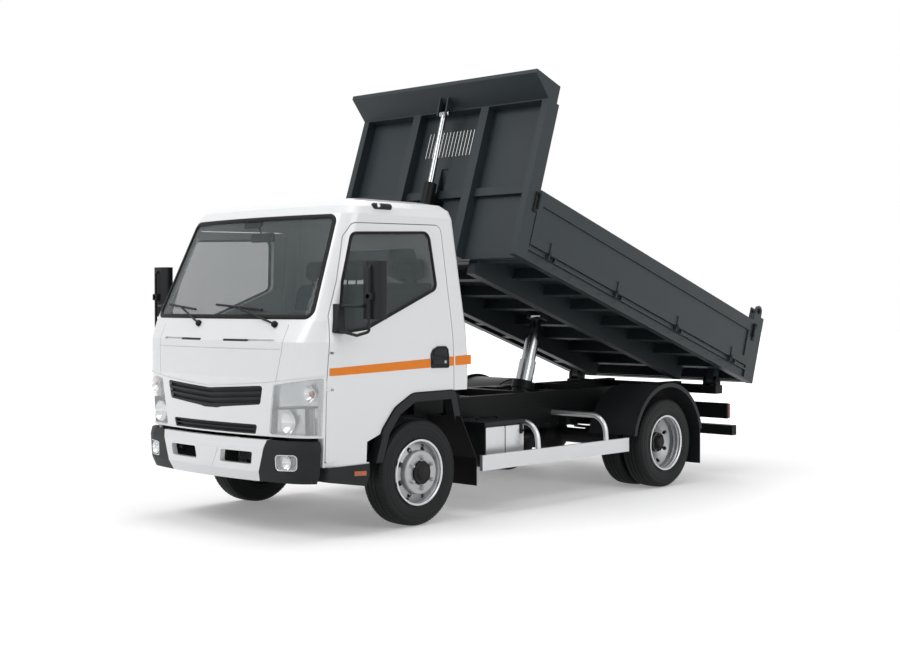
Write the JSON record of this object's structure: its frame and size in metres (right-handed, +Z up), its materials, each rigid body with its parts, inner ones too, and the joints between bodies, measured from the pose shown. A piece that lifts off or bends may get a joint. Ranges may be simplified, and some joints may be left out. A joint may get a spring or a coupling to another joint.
{
  "type": "tipper truck",
  "caption": "Light forward-control tipper truck with a tilting cab, drop-side load body part raised on rams, steered front wheels and twin rear wheels.",
  "frame": {"origin": "on the ground below the middle of the whole truck's bounding box", "axes": "+X towards the truck's front, +Y to its left, +Z up"},
  "size_m": [5.6449, 2.524, 3.3171],
  "materials": {
    "cab_white": "gloss",
    "charcoal": "grained",
    "body_grey": "satin",
    "chassis_black": "satin",
    "iron_dark": "rough",
    "window_glass": "clear",
    "lamp_glass": "clear",
    "lamp_amber": "gloss",
    "lamp_red": "gloss",
    "tyre": "matt",
    "rim_silver": "satin",
    "guard_aluminium": "satin",
    "ram_chrome": "polished",
    "flap_rubber": "matt",
    "seat_cloth": "woven",
    "dash_grey": "grained",
    "tank_steel": "satin"
  },
  "bodies": {
    "chassis": {"chassis_frame": "chassis_black", "subframe": "chassis_black", "front_axle": "iron_dark", "rear_axle": "iron_dark", "leaf_springs": "iron_dark", "engine": "iron_dark", "driveshaft": "chassis_black", "fuel_tank": "tank_steel", "battery_box": "charcoal", "muffler": "tank_steel", "bumper_middle": "cab_white", "bumper_ends": "charcoal", "fog_lamps": "lamp_glass", "side_guards": "guard_aluminium", "rear_mudguards": "charcoal", "splash_guards": "flap_rubber", "tail_lamps": "lamp_red"},
    "cab": {"cab_shell": "cab_white", "cab_floor": "charcoal", "cab_roof": "cab_white", "windscreen": "window_glass", "rear_window": "window_glass", "grilles": "charcoal", "headlamps": "lamp_glass", "dashboard": "dash_grey", "seats": "seat_cloth", "steering_wheel": "dash_grey", "wipers": "charcoal", "roof_lamps": "lamp_amber", "lower_trims": "charcoal"},
    "left_door": {"door_left": "cab_white", "door_glass_left": "window_glass", "mirror_left": "charcoal"},
    "right_door": {"door_right": "cab_white", "door_glass_right": "window_glass", "mirror_right": "charcoal"},
    "left_knuckle": {"knuckle_left": "iron_dark"},
    "right_knuckle": {"knuckle_right": "iron_dark"},
    "track_rod": {"tie_rod": "chassis_black"},
    "front_left_wheel": {"tyre_front_left": "tyre", "rim_front_left": "rim_silver"},
    "front_right_wheel": {"tyre_front_right": "tyre", "rim_front_right": "rim_silver"},
    "rear_left_wheels": {"tyres_rear_left": "tyre", "rims_rear_left": "rim_silver"},
    "rear_right_wheels": {"tyres_rear_right": "tyre", "rims_rear_right": "rim_silver"},
    "load_body": {"body_floor": "body_grey", "floor_beams": "body_grey", "headboard": "body_grey"},
    "left_gate": {"gate_left": "body_grey"},
    "right_gate": {"gate_right": "body_grey"},
    "rear_gate": {"tailgate": "body_grey"},
    "ram_barrel_body": {"ram_barrel": "chassis_black"},
    "ram_stage_1_body": {"ram_stage_1": "ram_chrome"},
    "ram_stage_2_body": {"ram_stage_2": "ram_chrome"},
    "ram_stage_3_body": {"ram_stage_3": "ram_chrome"},
    "front_ram_barrel_body": {"front_ram_barrel": "chassis_black"},
    "front_ram_stage_body": {"front_ram_stage": "chassis_black"},
    "front_ram_rod_body": {"front_ram_rod": "ram_chrome"}
  },
  "joints": [
    {"name": "cab_tilt", "type": "hinge", "parent": "chassis", "child": "cab", "pos_m": [2.665, 0, 0.8], "axis": [0, 1, 0], "range_deg": [0, 45]},
    {"name": "door_left_hinge", "type": "hinge", "parent": "cab", "child": "left_door", "pos_m": [2.517, 0.946, 1.2], "axis": [0, 0, -1], "range_deg": [0, 70]},
    {"name": "door_right_hinge", "type": "hinge", "parent": "cab", "child": "right_door", "pos_m": [2.517, -0.946, 1.2], "axis": [0, 0, 1], "range_deg": [0, 70]},
    {"name": "steer_left", "type": "hinge", "parent": "chassis", "child": "left_knuckle", "pos_m": [1.705, 0.69, 0.376], "axis": [0, 0, 1], "range_deg": [-32, 32]},
    {"name": "steer_right", "type": "hinge", "parent": "chassis", "child": "right_knuckle", "pos_m": [1.705, -0.69, 0.376], "axis": [0, 0, 1], "range_deg": [-32, 32]},
    {"name": "track_rod_slide", "type": "slide", "parent": "chassis", "child": "track_rod", "axis": [0, 1, 0], "range_m": [-0.09, 0.09]},
    {"name": "front_left_spin", "type": "hinge", "parent": "left_knuckle", "child": "front_left_wheel", "pos_m": [1.705, 0.8645, 0.376], "axis": [0, 1, 0], "continuous": true},
    {"name": "front_right_spin", "type": "hinge", "parent": "right_knuckle", "child": "front_right_wheel", "pos_m": [1.705, -0.8645, 0.376], "axis": [0, 1, 0], "continuous": true},
    {"name": "rear_left_spin", "type": "hinge", "parent": "chassis", "child": "rear_left_wheels", "pos_m": [-1.145, 0.855, 0.376], "axis": [0, 1, 0], "continuous": true},
    {"name": "rear_right_spin", "type": "hinge", "parent": "chassis", "child": "rear_right_wheels", "pos_m": [-1.145, -0.855, 0.376], "axis": [0, 1, 0], "continuous": true},
    {"name": "body_tip", "type": "hinge", "parent": "chassis", "child": "load_body", "pos_m": [-2.295, 0, 0.84], "axis": [0, -1, 0], "range_deg": [-18.3, 26.7]},
    {"name": "gate_left_hinge", "type": "hinge", "parent": "load_body", "child": "left_gate", "pos_m": [-1.4049, 1.046, 1.3334], "axis": [-0.9494, 0, -0.314], "range_deg": [0, 150]},
    {"name": "gate_right_hinge", "type": "hinge", "parent": "load_body", "child": "right_gate", "pos_m": [-1.4049, -1.046, 1.3334], "axis": [0.9494, 0, 0.314], "range_deg": [0, 150]},
    {"name": "tailgate_hinge", "type": "hinge", "parent": "load_body", "child": "rear_gate", "pos_m": [-2.7204, 0, 1.4735], "axis": [0, 1, 0], "range_deg": [0, 80]},
    {"name": "ram_swing", "type": "hinge", "parent": "chassis", "child": "ram_barrel_body", "pos_m": [-0.52, 0, 0.78], "axis": [0, -1, 0], "range_deg": [-7, 10]},
    {"name": "ram_out_1", "type": "slide", "parent": "ram_barrel_body", "child": "ram_stage_1_body", "axis": [-0.3132, 0, 0.9497], "range_m": [-0.1735, 0.2525]},
    {"name": "ram_out_2", "type": "slide", "parent": "ram_stage_1_body", "child": "ram_stage_2_body", "axis": [-0.3132, 0, 0.9497], "range_m": [-0.1735, 0.2525]},
    {"name": "ram_out_3", "type": "slide", "parent": "ram_stage_2_body", "child": "ram_stage_3_body", "axis": [-0.3132, 0, 0.9497], "range_m": [-0.1735, 0.2525]},
    {"name": "front_ram_swing", "type": "hinge", "parent": "chassis", "child": "front_ram_barrel_body", "pos_m": [1.145, 0, 0.6], "axis": [0, -1, 0], "range_deg": [-11, 15]},
    {"name": "front_ram_out_1", "type": "slide", "parent": "front_ram_barrel_body", "child": "front_ram_stage_body", "axis": [-0.2734, 0, 0.9619], "range_m": [-0.514, 0.75]},
    {"name": "front_ram_out_2", "type": "slide", "parent": "front_ram_stage_body", "child": "front_ram_rod_body", "axis": [-0.2734, 0, 0.9619], "range_m": [-0.514, 0.75]}
  ],
  "couplings": [
    {"joint": "steer_right", "follows": "steer_left", "ratio": 1},
    {"joint": "track_rod_slide", "follows": "steer_left", "m_per_rad": -0.15},
    {"joint": "ram_swing", "follows": "body_tip", "ratio": 0.322},
    {"joint": "ram_out_1", "follows": "body_tip", "m_per_rad": 0.54},
    {"joint": "ram_out_2", "follows": "body_tip", "m_per_rad": 0.54},
    {"joint": "ram_out_3", "follows": "body_tip", "m_per_rad": 0.54},
    {"joint": "front_ram_swing", "follows": "body_tip", "ratio": 0.53},
    {"joint": "front_ram_out_1", "follows": "body_tip", "m_per_rad": 1.605},
    {"joint": "front_ram_out_2", "follows": "body_tip", "m_per_rad": 1.605}
  ]
}
